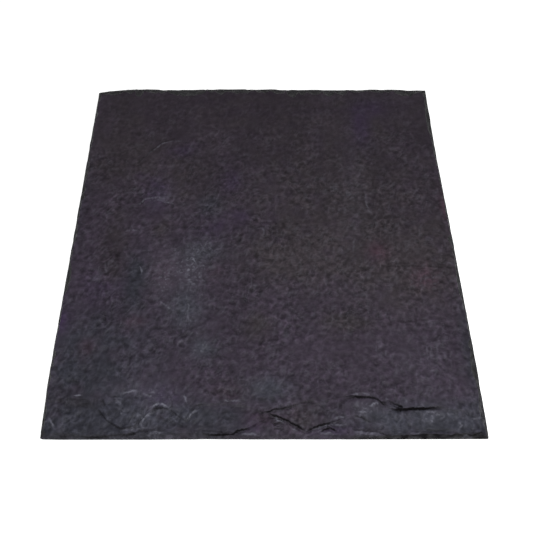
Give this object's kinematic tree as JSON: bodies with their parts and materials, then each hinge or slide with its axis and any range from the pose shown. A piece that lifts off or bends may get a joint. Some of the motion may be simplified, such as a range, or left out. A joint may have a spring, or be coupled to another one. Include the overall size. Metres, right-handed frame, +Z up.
{
  "type": "slate slab",
  "caption": "Thin, nearly square slab of riven slate with chipped edges and shallow flaked ledges along its front.",
  "frame": {"origin": "middle of the underside, on the surface that the slab lies on", "axes": "+Z up through the thickness; +Y towards the back, away from the flaked front edge; +X to the right seen from the front"},
  "size_m": [0.3, 0.31, 0.0075],
  "materials": {
    "slate": "riven, dark purple-grey with blue-grey patches, dull sheen"
  },
  "bodies": {
    "root": {"slab": "slate"}
  },
  "joints": []
}
